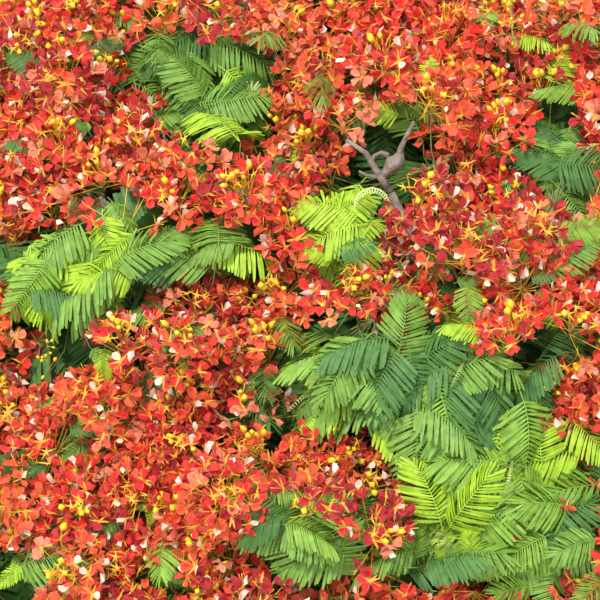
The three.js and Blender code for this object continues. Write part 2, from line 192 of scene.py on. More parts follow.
# Ellipses in the view: place sideways and up, half width and half height. Tips in LEAF_DRIFTS grow
# leaves, and all others in the view grow blossom.
LEAF_DRIFTS = [
    (-0.33, 0.73, 0.26, 0.13), (-0.25, 0.545, 0.24, 0.075), (0.79, 0.44, 0.11, 0.19),
    (0.29, 0.42, 0.13, 0.085), (-0.56, 0.085, 0.36, 0.185), (0.1, 0.205, 0.15, 0.08),
    (-0.2, 0.12, 0.15, 0.13), (0.15, -0.21, 0.21, 0.2), (0.58, -0.43, 0.32, 0.35),
    (-0.07, -0.35, 0.09, 0.075), (0, -0.74, 0.19, 0.12), (-0.82, -0.81, 0.1, 0.09),
    (-0.41, -0.83, 0.09, 0.06),
]
# Leaves that are mostly yellow green, partly painted sunlight
BRIGHT_DRIFTS = [
    (-0.68, 0.07, 0.13, 0.1), (0.08, 0.24, 0.17, 0.13), (0.68, -0.48, 0.22, 0.16),
    (-0.03, -0.35, 0.09, 0.08), (0.15, -0.36, 0.09, 0.07),
]
# More leaves on the front. Most flowers that would hide these or LEAF_DRIFTS are left out.
MORE_LEAVES = [
    (0.6, -0.77, 0.3, 0.12), (0.83, 0.35, 0.08, 0.2), (0.7, 0.05, 0.07, 0.06),
    (-0.83, -0.06, 0.06, 0.08), (0.1, 0.1, 0.09, 0.06), (-0.17, 0.76, 0.09, 0.06),
    (-0.5, 0.7, 0.1, 0.06), (0.33, 0.56, 0.12, 0.055), (0.47, 0.06, 0.07, 0.05),
    (0.4, -0.75, 0.14, 0.1), (0.8, -0.72, 0.1, 0.12), (0.12, 0.34, 0.07, 0.06),
    (-0.52, 0.26, 0.1, 0.06), (0.44, -0.1, 0.12, 0.08), (0.78, -0.13, 0.12, 0.09),
    (-0.6, -0.17, 0.07, 0.05), (-0.68, -0.41, 0.055, 0.045), (-0.78, -0.5, 0.06, 0.04),
    (-0.33, -0.17, 0.035, 0.05), (-0.66, 0.53, 0.055, 0.045), (-0.45, -0.63, 0.05, 0.04),
    (-0.42, 0.79, 0.15, 0.08), (0.34, -0.77, 0.13, 0.12), (-0.05, -0.59, 0.09, 0.06),
    (0.8, 0.6, 0.09, 0.09), (-0.6, 0.33, 0.09, 0.05), (-0.05, -0.17, 0.07, 0.05),
]
# Blossom all the same, over both lists of leaves
MORE_FLOWERS = [
    (0.79, -0.29, 0.09, 0.11), (-0.13, -0.3, 0.07, 0.08), (0.14, -0.55, 0.075, 0.05),
    (-0.38, -0.1, 0.27, 0.075), (-0.3, 0.03, 0.14, 0.08), (-0.045, 0.145, 0.06, 0.13),
    (-0.044, 0.627, 0.07, 0.09), (0.35, 0.248, 0.09, 0.055), (0.57, -0.1, 0.07, 0.055),
    (-0.32, 0.32, 0.11, 0.07), (-0.79, 0.34, 0.13, 0.06), (-0.8, 0.8, 0.1, 0.08),
]
SMALL_DRIFT = 0.26
OPENINGS = [(0.255, 0.4, 0.095, 0.09)]
DRIFT_LEAF_AREA = 0.015
BACKING_DEPTH = (0.15, 0.7)
BACKING_INSET = 0.15
DEEP_BACKING = (0.5, 0.85)
BACKING_STEP = 0.11
FILL_STEP = 0.09
FILL_GAP = 0.088
FILL_SINK = (0.02, 0.13)
FRAME_REACH = 0.96
FRAME_EDGE = 0.97
OPENING_ROOM = 1.3
SURFACE_DEPTH = -0.3
FORK_DEPTH = SURFACE_DEPTH - 0.05
SHOOT_DEPTH = SURFACE_DEPTH + 0.06
# The limbs of the bare fork: points sideways and up in the view, and the radius there
OPEN_FORK = [
    [
        (0.275, 0.325, 0.012), (0.245, 0.372, 0.013), (0.222, 0.405, 0.0105),
        (0.2, 0.444, 0.0085), (0.14, 0.485, 0.006),
    ],
    [(0.246, 0.37, 0.006), (0.222, 0.374, 0.0055), (0.2, 0.378, 0.0045), (0.178, 0.39, 0.0035)],
    [(0.218, 0.41, 0.006), (0.224, 0.436, 0.0065), (0.246, 0.446, 0.0065), (0.268, 0.436, 0.009)],
    [
        (0.245, 0.372, 0.01), (0.264, 0.392, 0.016), (0.283, 0.412, 0.03),
        (0.298, 0.43, 0.019), (0.3, 0.446, 0.01),
    ],
    [(0.296, 0.43, 0.011), (0.306, 0.462, 0.0085), (0.322, 0.495, 0.007), (0.345, 0.54, 0.005)],
]
SHOOT_SPOTS = [(0.16, 0.285), (0.53, -0.4), (0.7, -0.55)]

# Stage, light and camera
BOX_MARGIN = 0.022
LOWEST_LEAF = 0.2
FLOOR_HALF = 150
SKY_COLOUR = (0.86, 0.9, 0.96, 1)
SKY_STRENGTH = 1.15
SUN_COLOUR = (1.0, 0.96, 0.9)
SUN_STRENGTH = 2.6
SUN_WIDTH = radians(9)
SUNLIGHT = (0.35, 0.75, -1.0)
SENSOR_WIDTH = 36
FARTHEST_SEEN = 500

UP = np.array([0.0, 0.0, 1.0])
VIEW_UP = np.array([0, sin(VIEW_DROP), cos(VIEW_DROP)])
NEARER = np.array([0, -cos(VIEW_DROP), sin(VIEW_DROP)])


def unit(vector):
    vector = np.asarray(vector, float)
    return vector / norm(vector, axis=-1, keepdims=True)


def swung(first, second, angle):
    """The direction at that angle from first towards second."""
    return first * cos(angle) + second * sin(angle)


def spoke(angle):
    """The level direction at that angle, and the one across it."""
    out = np.array([cos(angle), sin(angle), 0])
    return out, np.array([-out[1], out[0], 0])


def sides_of(axis):
    """Two directions square to an axis and to each other."""
    side = unit(np.cross(axis, [0.3, 0.5, 0.81]))
    return side, np.cross(axis, side)


class Dice:
    """The seeded generator of the solids, so that both grow the same tree."""

    def __init__(self, seed):
        self.state = (seed * 7919 + 104729) % 2147483647

    def between(self, low, high):
        self.state = (self.state * 16807) % 2147483647
        return low + (high - low) * self.state / 2147483647


class Curve:
    """A cubic curve that is read by its share of length."""

    def __init__(self, *points):
        self.points = [np.array(point, float) for point in points]
        self.steps = np.linspace(0, 1, 201)
        self.lengths = np.zeros(201)
        self.lengths[1:] = np.cumsum(norm(np.diff(self.at(self.steps), axis=0), axis=1))

    def at(self, t):
        a, b, c, d = self.points
        t = np.asarray(t, float)[..., None]
        return (1 - t) ** 3 * a + 3 * (1 - t) ** 2 * t * b + 3 * (1 - t) * t**2 * c + t**3 * d

    def parameter(self, share):
        return np.interp(np.asarray(share) * self.lengths[-1], self.lengths, self.steps)

    def point(self, share):
        return self.at(self.parameter(share))

    def tangent(self, share):
        a, b, c, d = self.points
        t = np.asarray(self.parameter(share))[..., None]
        return unit((1 - t) ** 2 * (b - a) + 2 * (1 - t) * t * (c - b) + t**2 * (d - c))


# The crown's masses

def place_masses():
    masses = []
    for sector in range(SECTORS):
        dice = Dice(sector + 11)
        middle_angle = FRONT_ANGLE + sector * 360 / SECTORS
        for slot, (name, polar, swing) in enumerate(SECTOR_MASSES):
            stagger = TOP_STAGGER * (1 if sector % 2 == 0 else -1) if slot == 0 else 0
            polar_angle = radians(polar + stagger + dice.between(-POLAR_JITTER, POLAR_JITTER))
            azimuth = radians(middle_angle + swing + dice.between(-SWING_JITTER, SWING_JITTER))
            share = CENTRE_SHARE + dice.between(-SHARE_JITTER, SHARE_JITTER)
            direction = swung(UP, spoke(azimuth)[0], polar_angle)
            middle = direction * CROWN_HALF * share + CROWN_MIDDLE
            outward = unit((middle - CROWN_MIDDLE) / CROWN_HALF**2)
            across = unit(np.cross(UP, outward))
            masses.append(SimpleNamespace(
                name=f"{name}_{sector + 1}", seed=FIRST_TWIG_SEED + len(masses),
                middle=middle, outward=outward, across=across, up_slope=np.cross(outward, across),
            ))
    return masses


MASSES = place_masses()


def reach_along(direction, mass):
    reach = min(OPEN_REACH, SKIRT / -direction[2] if direction[2] < 0 else OPEN_REACH)
    for other in MASSES:
        away = other.middle - mass.middle
        towards = direction @ away
        if towards > 1e-9:
            reach = min(reach, away @ away / 2 / towards)
    return reach


def in_view(point):
    """A point's place sideways and up in the view, from its middle."""
    seen = point - VIEW_MIDDLE
    return seen[0], seen[2] * cos(VIEW_DROP) + seen[1] * sin(VIEW_DROP)


def from_view(sideways, up, nearer):
    """The point at that place in the view, and that far in front of its middle."""
    return VIEW_MIDDLE + np.array([sideways, 0, 0]) + VIEW_UP * up + NEARER * nearer


def on_front(point):
    sideways, up = in_view(point)
    return point[1] < CROWN_MIDDLE[1] and abs(sideways) < 1 and abs(up) < 1


def in_drift(point, drifts, scale=1.0):
    sideways, up = in_view(point)
    return any(
        ((sideways - x) / half_width) ** 2 + ((up - z) / half_height) ** 2 < scale**2
        for x, z, half_width, half_height in drifts
    )


def shows_leaves(point, scale=1.0):
    return in_drift(point, LEAF_DRIFTS + MORE_LEAVES, scale) and not in_drift(point, MORE_FLOWERS)


def is_blossom(point):
    if on_front(point):
        return not in_drift(point, LEAF_DRIFTS) or in_drift(point, MORE_FLOWERS)
    x, y, z = point
    wave = (
        sin(x / 0.27 + z / 0.41)
        + sin(y / 0.31 - z / 0.35 + 2)
        + sin((x - y) / 0.23 + 1)
    )
    height = (z - CROWN_MIDDLE[2]) / CROWN_HALF[2]
    return wave > -BLOSSOM_RISE * height


# Limbs

def taper(root, tip):
    return lambda share: root + (tip - root) * np.asarray(share, float) ** 0.8


TRUNK_CURVE = Curve(
    (0, 0, 0),
    (0, 0, FORK_HEIGHT * 0.35),
    (TRUNK_LEAN[0] * 0.55, TRUNK_LEAN[1] * 0.5, FORK_HEIGHT * 0.68),
    (*TRUNK_LEAN, FORK_HEIGHT),
)


def trunk_radius(share, angle):
    body = TRUNK_FOOT_RADIUS + (TRUNK_TOP_RADIUS - TRUNK_FOOT_RADIUS) * share**0.7
    turned = -angle - pi / 2
    lobes = 0.55 + 0.45 * np.cos(FLARE_LOBES * turned + 0.7)
    neck = NECK_SWELL * np.maximum(0, share - NECK_START) / (1 - NECK_START)
    return body + neck + FLARE * lobes * np.exp(-share * FORK_HEIGHT / FLARE_HEIGHT)


def bough_curve(root, root_direction, tip, tip_direction):
    span = norm(tip - root)
    return Curve(root, root + root_direction * span * 0.38, tip - tip_direction * span * 0.34, tip)


def bough_tip(first, second):
    between = (first.middle + second.middle) / 2
    tip = (between - CROWN_MIDDLE) * TIP_SHARE + CROWN_MIDDLE
    side = unit(second.middle - first.middle)
    return tip - side * ((tip - between) @ side)


def place_boughs():
    boughs = []
    mains = []
    for sector in range(SECTORS):
        for name, carries, start in SECTOR_BOUGHS:
            first, second = (MASSES[sector * len(SECTOR_MASSES) + slot] for slot in carries)
            tip = bough_tip(first, second)
            is_main = start is None
            is_leader = is_main and sector % 2 == 0
            if is_leader:
                angle = radians(FRONT_ANGLE + (sector + 0.5) * 360 / SECTORS)
                away = spoke(angle)[0]
                level = LOWEST_FORK + LEADER_STEP * sector / 2
                root = TRUNK_CURVE.point(level) + away * FORK_OFFSET
                root_direction = away * 0.8 + UP
            else:
                parent = mains[sector - 1] if is_main else mains[sector]
                share = FORK_SHARE if is_main else start
                root = parent.curve.point(share)
                root_direction = unit(tip - root) + parent.curve.tangent(share) * 0.6
            main_root = LEADER_ROOT_RADIUS if is_leader else FORKED_ROOT_RADIUS
            radii = (main_root, MAIN_TIP_RADIUS) if is_main else (SIDE_ROOT_RADIUS, SIDE_TIP_RADIUS)
            outward = unit(tip - CROWN_MIDDLE)
            bough = SimpleNamespace(
                name=f"{name}_{sector + 1}",
                curve=bough_curve(root, unit(root_direction), tip, outward),
                radius=taper(*radii),
                carries=(first, second),
            )
            boughs.append(bough)
            if is_main:
                mains.append(bough)
    return boughs


BOUGHS = place_boughs()


def stem_curve(mass):
    """The stem of a mass, and the place on it of its bough's end."""
    bough = next(bough for bough in BOUGHS if mass in bough.carries)
    other = next(carried for carried in bough.carries if carried is not mass)
    along = bough.curve.tangent(1.0)
    side = unit(mass.middle - other.middle)
    start = bough.curve.point(1.0) + side * 0.006 - along * 0.05
    crest = mass.middle + mass.outward * MASS_BULGE
    span = norm(crest - start)
    return Curve(start, start + along * span * 0.35, crest - mass.outward * span * 0.3, crest)


# Triangles, gathered for joined pieces

class Heap:
    """Triangles of one piece."""

    def __init__(self):
        self.corners = []
        self.faces = []
        self.count = 0
        self.triangles = 0

    def add(self, corners, faces):
        self.corners.append(corners)
        self.faces.append(faces + self.count)
        self.count += len(corners)
        self.triangles += len(faces)

    def add_copies(self, corners, faces, turns, origins):
        placed = np.einsum("nij,vj->nvi", turns, corners) + origins[:, None]
        offsets = np.arange(len(origins))[:, None, None] * len(corners)
        self.add(placed.reshape(-1, 3), (faces[None] + offsets).reshape(-1, 3))

    def add_heap(self, other):
        for corners, faces in other.parts():
            self.add(corners, faces)

    def joined(self):
        return np.concatenate(self.corners), np.concatenate(self.faces)

    def parts(self):
        start = 0
        for corners, faces in zip(self.corners, self.faces):
            yield corners, faces - start
            start += len(corners)


BLADE_FACES = np.array([(0, 1, 2)])
QUAD_FACES = np.array([(0, 1, 2), (0, 2, 3)])
PETAL_FACES = np.array([(0, 1, 2), (0, 2, 3), (1, 4, 5), (1, 5, 2), (2, 5, 6), (2, 6, 3)])


def grid_faces(rows, columns, closed=False):
    faces = []
    for row in range(rows - 1):
        for column in range(columns if closed else columns - 1):
            a = row * columns + column
            b = row * columns + (column + 1) % columns
            faces += [(a, b, b + columns), (a, b + columns, a + columns)]
    return faces


def tube(points, radii, sides):
    """A closed tube round a line of points. radii has one row a point, and a column a side or one."""
    points = np.asarray(points, float)
    tangents = unit(np.gradient(points, axis=0))
    normal = unit(np.cross(tangents[0], UP if abs(tangents[0][2]) < 0.9 else [1.0, 0, 0]))
    normals = []
    for tangent in tangents:
        normal = unit(normal - tangent * (normal @ tangent))
        normals.append(normal)
    normals = np.array(normals)
    binormals = np.cross(tangents, normals)
    angles = np.arange(sides) * tau / sides
    radii = np.broadcast_to(np.reshape(radii, (len(points), -1)), (len(points), sides))
    rings = points[:, None] + radii[..., None] * (
        np.cos(angles)[None, :, None] * normals[:, None]
        + np.sin(angles)[None, :, None] * binormals[:, None]
    )
    corners = np.concatenate([rings.reshape(-1, 3), points[:1], points[-1:]])
    faces = grid_faces(len(points), sides, closed=True)
    first = len(points) * sides
    last_ring = first - sides
    for side in range(sides):
        after = (side + 1) % sides
        faces += [(first, after, side), (first + 1, last_ring + side, last_ring + after)]
    return corners, np.array(faces)


def add_object(name, data):
    thing = bpy.data.objects.new(name, data)
    bpy.context.scene.collection.objects.link(thing)
    return thing


def new_object(name, corners, faces, material, smooth=True):
    mesh = bpy.data.meshes.new(name)
    mesh.vertices.add(len(corners))
    mesh.vertices.foreach_set("co", np.asarray(corners, np.float32).ravel())
    mesh.loops.add(len(faces) * 3)
    mesh.loops.foreach_set("vertex_index", np.asarray(faces, np.int32).ravel())
    mesh.polygons.add(len(faces))
    mesh.polygons.foreach_set("loop_start", np.arange(0, len(faces) * 3, 3, dtype=np.int32))
    mesh.polygons.foreach_set("use_smooth", np.full(len(faces), smooth))
    mesh.update(calc_edges=True)
    mesh.validate()
    mesh.materials.append(material)
    return add_object(name, mesh)


MASS_NAMES = [mass.name for mass in MASSES]


def finish_heap(name, heap, material, smooth=True):
    """Makes the pieces of a heap, each under the limit, to stand for the masses."""
    parts = [Heap()]
    for corners, faces in heap.parts():
        if parts[-1].count and parts[-1].triangles + len(faces) > PIECE_LIMIT:
            parts.append(Heap())
        parts[-1].add(corners, faces)
    for number, part in enumerate(parts, 1):
        label = f"{name}_{number}" if len(parts) > 1 else name
        piece = new_object(label, *part.joined(), material, smooth)
        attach(piece, "root")
        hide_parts(*MASS_NAMES)


# Materials

def linear(*tint):
    """The linear values of a screen tint of 0 to 255."""
    return tuple(((c / 255 + 0.055) / 1.055) ** 2.4 if c > 10 else c / 255 / 12.92 for c in tint)


def add_node(material, kind, **values):
    """A node of that kind with values on its sockets."""
    node = material.node_tree.nodes.new("ShaderNode" + kind)
    for socket, value in values.items():
        node.inputs[socket].default_value = value
    return node


def add_ramp(material, *stops):
    """A colour ramp with those places and colours, in rising order."""
    ramp = add_node(material, "ValToRGB")
    elements = ramp.color_ramp.elements
    for _ in stops[2:]:
        elements.new(0.5)
    for element, (place, colour) in zip(elements, stops):
        element.position = place
        element.color = (*colour, 1)
    return ramp


def new_material(name, roughness):
    material = bpy.data.materials.new(name)
    material.use_nodes = True
    surface = material.node_tree.nodes["Principled BSDF"]
    surface.inputs["Roughness"].default_value = roughness
    return material, surface


def link(material, *steps):
    """Links each node's output to the input of the node after it. Steps are nodes and socket names."""
    for source, output, socket, target in zip(steps[::3], steps[1::3], steps[2::3], steps[3::3]):
        material.node_tree.links.new(source.outputs[output], target.inputs[socket])


def link_colour(material, pattern, ramp, surface):
    where = add_node(material, "TexCoord")
    link(material, where, "Object", "Vector", pattern, "Fac", "Fac", ramp, "Color", "Base Color", surface)


def link_relief(material, pattern, output, relief, surface):
    where = add_node(material, "TexCoord")
    link(material, where, "Object", "Vector", pattern, output, "Height", relief, "Normal", "Normal", surface)


def shader(name, colour, roughness, *, bump=0.0, bump_scale=60.0, mottle=0.0, mottle_scale=9.0, sheen=0.0):
    """A plain colour with a fine mottle and relief."""
    material, surface = new_material(name, roughness)
    surface.inputs["Base Color"].default_value = (*colour, 1)
    surface.inputs["Sheen Weight"].default_value = sheen
    if mottle:
        spots = add_node(material, "TexNoise", Scale=mottle_scale, Detail=3)
        dark = [c * (1 - mottle) for c in colour]
        light = [min(1, c * (1 + mottle)) for c in colour]
        link_colour(material, spots, add_ramp(material, (0.35, dark), (0.65, light)), surface)
    if bump:
        grain = add_node(material, "TexNoise", Scale=bump_scale, Detail=4)
        relief = add_node(material, "Bump", Strength=bump, Distance=0.004)
        link_relief(material, grain, "Fac", relief, surface)
    return material


def petal_shader(name, colour):
    # On the petals the fine light and dark mottle is painted highlight and shade of their crinkles.
    return shader(name, colour, 0.5, bump=0.8, bump_scale=210, mottle=0.24, mottle_scale=130, sheen=0.25)


def leaf_shader(name, colour):
    return shader(name, colour, 0.55, bump=0.4, bump_scale=260, mottle=0.18, mottle_scale=40)


PETAL_TINTS = {
    "scarlet": petal_shader("petals scarlet", linear(231, 42, 26)),
    "orange": petal_shader("petals orange scarlet", linear(243, 88, 42)),
    # Crimson petals are partly painted shade, partly a darker red of the flowers.
    "crimson": petal_shader("petals crimson", linear(184, 16, 26)),
    # Salmon petals are painted highlight: the sheen and glow of lit petals.
    "salmon_highlight": petal_shader("petals salmon", linear(242, 132, 98)),
}
LEAF_TINTS = {
    "green": leaf_shader("leaves green", linear(118, 160, 58)),
    # Deep green is partly painted shade, the colour of leaves in shade, partly a darker leaf.
    "deep": leaf_shader("leaves deep green", linear(74, 122, 50)),
    "fresh": leaf_shader("leaves fresh green", linear(130, 172, 54)),
    # Yellow green is partly painted sunlight on the leaves, partly their own lighter tone.
    "bright": leaf_shader("leaves yellow green", linear(166, 202, 42)),
    "young": leaf_shader("young leaves", linear(198, 212, 128)),
}
STANDARD = shader("standard petals", linear(250, 226, 204), 0.5, mottle=0.12, mottle_scale=60, sheen=0.2)
TRIM = shader("sepals and stamens", linear(246, 176, 60), 0.55, mottle=0.2, mottle_scale=50)
YELLOW_STALKS = shader("yellow stalks", linear(246, 188, 52), 0.55, mottle=0.2, mottle_scale=50)
STALKS = shader("flower stalks", linear(160, 170, 70), 0.6, mottle=0.15, mottle_scale=30)
GREEN_TWIGS = shader(
    "green twigs", linear(120, 130, 66), 0.65, bump=0.4, bump_scale=150, mottle=0.25, mottle_scale=18,
)
BUDS = shader("buds", linear(240, 206, 44), 0.5, mottle=0.2, mottle_scale=70, bump=0.2, bump_scale=200)


# Leaf and flower patterns

def leaf_pattern(rng, sections, half_widths, spine_steps, pairs):
    """One leaf along X with its face up Z: a stalk and pairs of blunt side leaves that hang from it."""
    arch = rng.uniform(0.25, 0.6)
    sway = rng.uniform(-0.14, 0.14)
    hang = rng.uniform(-0.45, -0.1)
    heap = Heap()

    def rachis(share):
        share = np.asarray(share, float)
        x = LEAF_LENGTH * share * (1 - 0.14 * share)
        y = sway * LEAF_LENGTH * share**2
        z = LEAF_LENGTH * (0.14 * share - arch * share**2)
        return np.stack([x, y, z], -1)

    shares = np.linspace(0, 1, spine_steps)
    spine = rachis(shares)
    across = np.array([0, 1.0, 0])
    widths = (0.002 - 0.0011 * shares)[:, None]
    ribbon = np.stack([spine - across * widths, spine + across * widths], 1).reshape(-1, 3)
    heap.add(ribbon, np.array(grid_faces(spine_steps, 2)))
    for pair in range(pairs):
        share = 0.14 + 0.85 * (pair + 0.5) / pairs
        root = rachis(share)
        forward = unit(rachis(share + 0.01) - rachis(share - 0.01))
        size = (0.6 + 0.4 * sin(pi * min(1, share * 1.05) ** 0.8)) * PINNA_LENGTH
        for side in (-1, 1):
            angle = radians(74 - 28 * share**2 - 30 * share**12 + rng.normal(0, 3.5))
            length = size * rng.uniform(0.9, 1.06)
            droop = rng.uniform(0.15, 0.42)
            fall = hang + rng.normal(0, 0.07)
            out = unit(forward * cos(angle) + across * side * sin(angle) + UP * fall)
            wide = unit(np.cross(UP, out) + UP * rng.normal(0, 0.2))
            line = root + out * (sections * length)[:, None]
            line = line - UP * (droop * length * sections**2)[:, None]
            reach = half_widths[:, None] * PINNA_WIDTH * LEAF_PAIRS / pairs * (1 - 0.22 * share) / 2
            blade = np.stack([line - wide * reach, line + wide * reach], 1)
            heap.add(blade.reshape(-1, 3), np.array(grid_faces(len(sections), 2)))
    return heap.joined()


def petal(angle, lift, twist, length, width, rng):
    """A crumpled spoon on a narrow claw: its root, three corners across, and three on its lip."""
    away, flat = spoke(angle)
    out = swung(away, UP, lift)
    across = swung(flat, np.cross(out, flat), twist)
    normal = np.cross(out, across)
    curl = rng.uniform(-0.5, 1.0)
    cup = rng.uniform(-0.008, 0.011)
    places = [
        (0.1, 0.0, 0.0),
        (0.46, -0.44, cup), (0.55, 0.0, 0.0), (0.46, 0.44, cup),
        (0.84, -0.46, cup), (1.0, 0.04, 0.0), (0.84, 0.44, cup),
    ]
    corners = []
    for number, (along, side, rise) in enumerate(places):
        rumple = rng.normal(0, 0.0052) if number else 0
        bend = 0.018 * curl * along**3
        corners.append(out * along * length + across * side * width + normal * (rise + rumple + bend))
    return np.array(corners)


def flower_pattern(rng):
    """Four scarlet petals, the pale standard, and the thin parts between them, facing up Z."""
    red = Heap()
    for number in range(1, 5):
        angle = tau * (number / 5) + rng.normal(0, 0.16)
        length = PETAL_LENGTH * rng.uniform(0.86, 1.14)
        width = PETAL_WIDTH * rng.uniform(0.8, 1.15)
        red.add(petal(angle, rng.uniform(-0.35, 0.85), rng.normal(0, 0.45), length, width, rng), PETAL_FACES)
    pale = petal(rng.normal(0, 0.1), 0.75, rng.normal(0, 0.4), PETAL_LENGTH * 0.86, PETAL_WIDTH * 0.72, rng)
    trim = Heap()
    for _ in range(4):
        out, side = spoke(rng.uniform(0, tau))
        point = out * rng.uniform(0.026, 0.036) + UP * rng.uniform(-0.01, 0.024)
        trim.add(np.array([side * 0.005, -side * 0.005, point]), BLADE_FACES)
    for _ in range(3):
        out, side = spoke(rng.uniform(0, tau))
        side = side * 0.0014
        point = out * rng.uniform(0.012, 0.03) + UP * rng.uniform(0.024, 0.04)
        trim.add(np.array([point - side, point + side, np.zeros(3)]), BLADE_FACES)
    return SimpleNamespace(
        red=red.joined(),
        pale=(pale, PETAL_FACES),
        has_pale=rng.random() < PALE_CHANCE,
        trim=trim.joined(),
    )


def bud_pattern():
    """An ovoid bud along Z with its root at the origin."""
    sides = 4
    corners = [(0, 0, 0), (0, 0, BUD_LENGTH)]
    for height, swell in ((0.3, 0.85), (0.66, 0.95)):
        for side in range(sides):
            angle = tau * side / sides
            ring = BUD_RADIUS * swell
            corners.append((ring * cos(angle), ring * sin(angle), height * BUD_LENGTH))
    faces = []
    for side in range(sides):
        low = 2 + side
        after = 2 + (side + 1) % sides
        faces += [(0, after, low), (low, after, after + sides), (low, after + sides, low + sides)]
        faces += [(1, low + sides, after + sides)]
    return np.array(corners), np.array(faces)


def shoot_pattern():
    """A young leaf that is still curled: a pale arch with short ribs along its inner side."""
    heap = Heap()
    angles = np.linspace(pi * 1.05, -0.25, 9)
    centre = np.array([SHOOT_RADIUS, 0, 0])
    circle = np.stack([np.cos(angles), angles * 0, np.sin(angles)], -1)
    widths = np.linspace(0.0055, 0.003, 9)[:, None]
    band = np.stack([centre + circle * (SHOOT_RADIUS - widths), centre + circle * SHOOT_RADIUS], 1)
    heap.add(band.reshape(-1, 3), np.array(grid_faces(9, 2)))
    for angle in np.linspace(pi * 0.95, 0.1, 17):
        out = np.array([cos(angle), 0, sin(angle)])
        along = np.array([-sin(angle), 0, cos(angle)]) * 0.0019
        root = centre + out * (SHOOT_RADIUS - 0.003)
        length = SHOOT_RIB * (0.55 + 0.45 * sin(angle))
        for lean in (-1, 1):
            tip = root - out * length + np.array([0, length * 0.4 * lean, 0])
            heap.add(np.array([root - along, root + along, tip + along, tip - along]), QUAD_FACES)
    return heap.joined()


def turn_to(forward, facing):
    """Matrices whose columns are X along forward and Z as near facing as it can be."""
    x = unit(forward)
    y = unit(np.cross(facing, x))
    return np.stack([x, y, np.cross(x, y)], -1)


def face_along(facing, spin):
    """A matrix with Z along facing, turned round it."""
    facing = unit(facing)
    side = unit(np.cross(facing, [0.31, 0.87, 0.38]))
    return turn_to(swung(side, np.cross(facing, side), spin), facing)


# Growing the crown

class Crown:
    """What the masses grow, by kind: places and turns of leaves, flowers and buds, and their twigs."""

    def __init__(self):
        self.twigs = Heap()
        self.green_twigs = Heap()
        self.stalks = Heap()
        self.yellow_stalks = Heap()
        self.leaves = []
        self.inner_leaves = []
        self.shoots = []
        self.front_tips = []
        self.front_masses = []
        self.forks = []
        self.flowers = []
        self.buds = []

    def twig(self, points, radii, sides=3):
        self.twigs.add(*tube(points, np.linspace(*radii, len(points)), sides))

    def green_twig(self, points):
        self.green_twigs.add(*tube(points, np.linspace(*FINE_TWIG_RADII, len(points)), 3))

    def stalk(self, heap, line, width):
        for start, end in zip(line[:-1], line[1:]):
            side = unit(np.cross(unit(end - start), [0.4, -0.8, 0.45])) * width
            corners = np.array([start - side, start + side, end + side, end - side])
            heap.add(corners, QUAD_FACES)

    def inner_leaf(self, turn, root, rng):
        self.inner_leaves.append(("inner", int(rng.integers(LEAF_VARIANTS)), turn, root))


def bowed(start, end, lift, steps=4):
    """A line from start to end that bows upwards."""
    share = np.linspace(0, 1, steps)[:, None]
    return start + (end - start) * share + lift * (share * (1 - share) * 4)


# Deals leaf tints: deep green is partly painted shade, yellow green partly painted sunlight.
def pick_leaf_tint(point, rng):
    if in_drift(point, BRIGHT_DRIFTS) and on_front(point):
        return "bright" if rng.random() < 0.8 else "fresh"
    roll = rng.random()
    if roll < 0.1:
        return "bright"
    if roll < 0.32:
        return "fresh"
    return "deep" if roll < 0.57 else "green"


# Deals petal tints: salmon is painted highlight, crimson partly painted shade.
def pick_petal_tint(rng):
    roll = rng.random()
    if roll < 0.28:
        return "orange"
    if roll < 0.46:
        return "crimson"
    return "salmon_highlight" if roll < 0.68 else "scarlet"


def add_leaf(crown, root, forward, facing, tint, size, rng):
    turn = turn_to(forward, facing) * size
    crown.leaves.append((tint, int(rng.integers(LEAF_VARIANTS)), turn, root))


def leaf_fit(root, forward, size):
    """The share of a leaf that lies among the leaves of the view, or out of the view."""
    length = LEAF_LENGTH * size
    side = unit(np.cross(forward, NEARER)) * PINNA_LENGTH * 0.75 * size
    middle = root + forward * length * 0.6 - UP * 0.06 * size
    end = root + forward * length * 0.95 - UP * 0.1 * size
    fit = 0
    for point in (root + forward * length * 0.3, middle, middle + side, middle - side, end):
        if not on_front(point):
            fit += 0.2
            continue
        fit += 0.2 * shows_leaves(point)
        fit -= in_drift(point, OPENINGS, OPENING_ROOM)
    return fit


def grow_leaves(crown, mass, node, radial, rng):
    """A tuft of leaves that fan out from the end of a twig."""
    tint = pick_leaf_tint(node + radial * 0.15, rng)
    close = on_front(node)
    count = int(rng.integers(*(LEAVES_IN_VIEW if close else LEAVES_PER_TIP), endpoint=True))
    first = rng.uniform(-0.5, 0.5)
    for number in range(count):
        best = -9
        for attempt in range(LEAF_TRIES):
            size = rng.uniform(0.84, 1.06) * (1 - 0.03 * attempt) * (1 if close else FAR_LEAF_SIZE)
            swing = first + (number - (count - 1) / 2) * rng.uniform(0.9, 1.4)
            swing += rng.normal(0, 0.1 + 0.15 * attempt)
            turned = swung(radial, np.cross(mass.outward, radial), swing)
            outwards = mass.outward * rng.uniform(0, 0.4)
            forward = unit(turned + outwards - UP * rng.uniform(*(DROOP_IN_VIEW if close else DROOP)))
            fit = leaf_fit(node, forward, size)
            if fit > best:
                best = fit
                chosen = (forward, size)
            if fit > GOOD_FIT:
                break
        if best < WORST_FIT:
            continue
        forward, size = chosen
        facing = mass.outward * 0.8 + UP * FACE_UP + rng.normal(0, 0.15, 3)
        add_leaf(crown, node + forward * 0.01, forward, facing, tint, size, rng)
    if rng.random() < YOUNG_CHANCE:
        forward = unit(mass.outward + radial * 0.4 + rng.normal(0, 0.2, 3))
        add_leaf(crown, node, forward, radial + rng.normal(0, 0.3, 3), "young", rng.uniform(0.3, 0.45), rng)
    elif rng.random() < CURLED_CHANCE:
        add_shoot(crown, node, unit(radial + rng.normal(0, 0.3, 3)), mass.outward, rng.uniform(0.8, 1.3))


def add_shoot(crown, root, forward, facing, size):
    crown.shoots.append(("young", 0, turn_to(forward, facing) * size, root))


